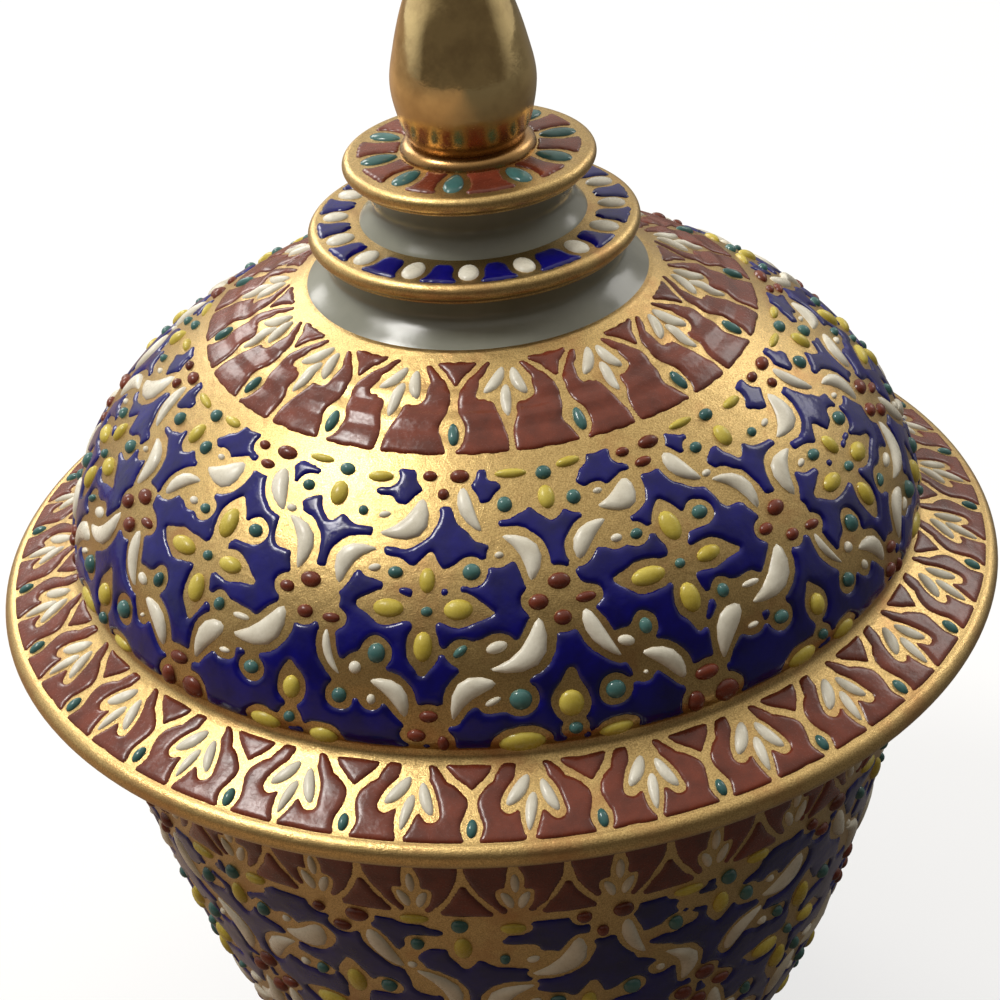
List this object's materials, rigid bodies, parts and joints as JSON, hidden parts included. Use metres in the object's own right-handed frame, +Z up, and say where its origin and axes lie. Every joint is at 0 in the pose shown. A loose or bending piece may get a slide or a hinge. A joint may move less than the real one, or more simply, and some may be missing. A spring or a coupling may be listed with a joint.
{
  "type": "lidded trinket box",
  "caption": "Round covered porcelain jar on a foot ring, with raised enamel and gilding; a domed lid with a wide brim and a tiered bud knob lifts off.",
  "frame": {"origin": "centre of the flat face that the foot ring rests on", "axes": "+Z up along the axis of the jar and its lid, towards the finial's tip; the jar is round, so X and Y are free, and the picture looks along +Y"},
  "size_m": [0.128, 0.128, 0.1693],
  "materials": {
    "gilding": "satin gold laid over the glaze, with a fine grain",
    "bright_gilding": "burnished gold over the glaze",
    "cobalt_enamel": "glossy raised enamel",
    "maroon_enamel": "glossy raised enamel",
    "yellow_enamel": "glossy raised enamel",
    "white_enamel": "glossy raised enamel",
    "turquoise_enamel": "glossy raised enamel",
    "white_glaze": "glossy clear glaze over grey-white porcelain"
  },
  "bodies": {
    "bowl": {"bowl_foot_ring": "gilding", "bowl_wall": "cobalt_enamel"},
    "lid": {"lid_locating_ring": "white_glaze", "lid_dome": "maroon_enamel", "knob_lower_tier": "white_glaze", "knob_upper_tier": "white_glaze", "finial_collar": "bright_gilding", "finial_bud": "bright_gilding"}
  },
  "joints": [
    {"name": "lid_lift", "type": "slide", "parent": "bowl", "child": "lid", "axis": [0, 0, 1], "range_m": [0, 0.12]}
  ]
}
